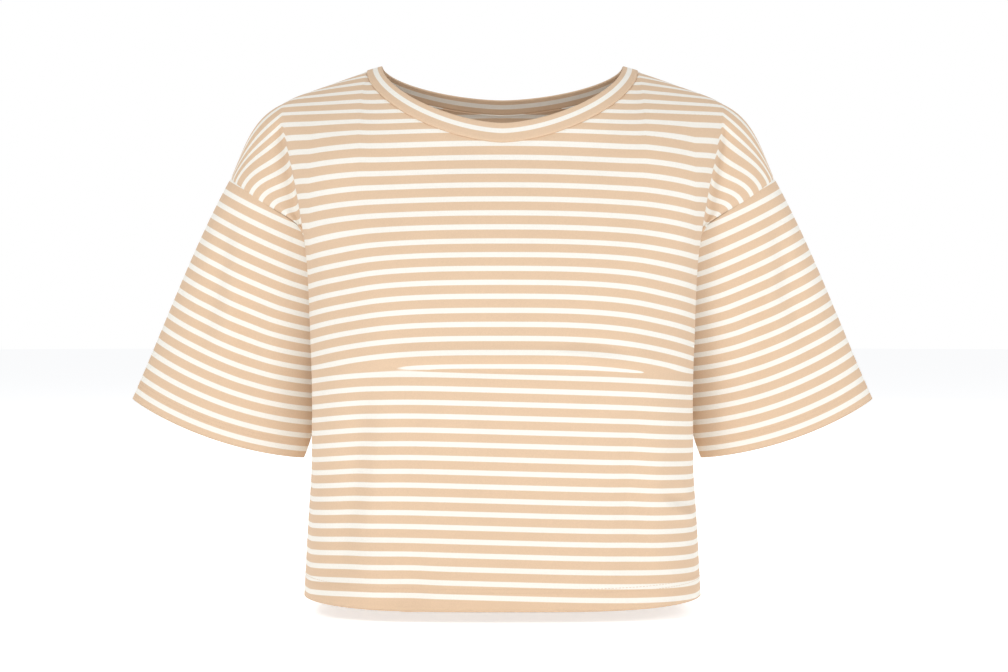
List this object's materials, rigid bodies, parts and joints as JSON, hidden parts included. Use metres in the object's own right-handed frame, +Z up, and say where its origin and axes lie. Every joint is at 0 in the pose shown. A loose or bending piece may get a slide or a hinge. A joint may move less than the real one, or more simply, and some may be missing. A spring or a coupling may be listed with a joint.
{
  "type": "crop top",
  "caption": "Boxy cropped jersey top with horizontal stripes, a round neckband, dropped shoulders and wide half sleeves, filled out as when worn.",
  "frame": {"origin": "midway between the two points where the neckband is highest, where the neck and shoulders of a wearer hold the top up", "axes": "+X to the top's own left sleeve, +Y to its back, +Z up"},
  "size_m": [0.68, 0.235, 0.4871],
  "materials": {
    "body_jersey": "soft matt cotton jersey in beige and off-white stripes",
    "sleeve_jersey": "soft matt cotton jersey in beige and off-white stripes",
    "neckband_jersey": "soft matt cotton jersey, folded double, one off-white stripe along its middle"
  },
  "bodies": {
    "root": {"front": "body_jersey", "back": "body_jersey", "sleeve_left": "sleeve_jersey", "sleeve_right": "sleeve_jersey", "neckband": "neckband_jersey"}
  },
  "joints": []
}
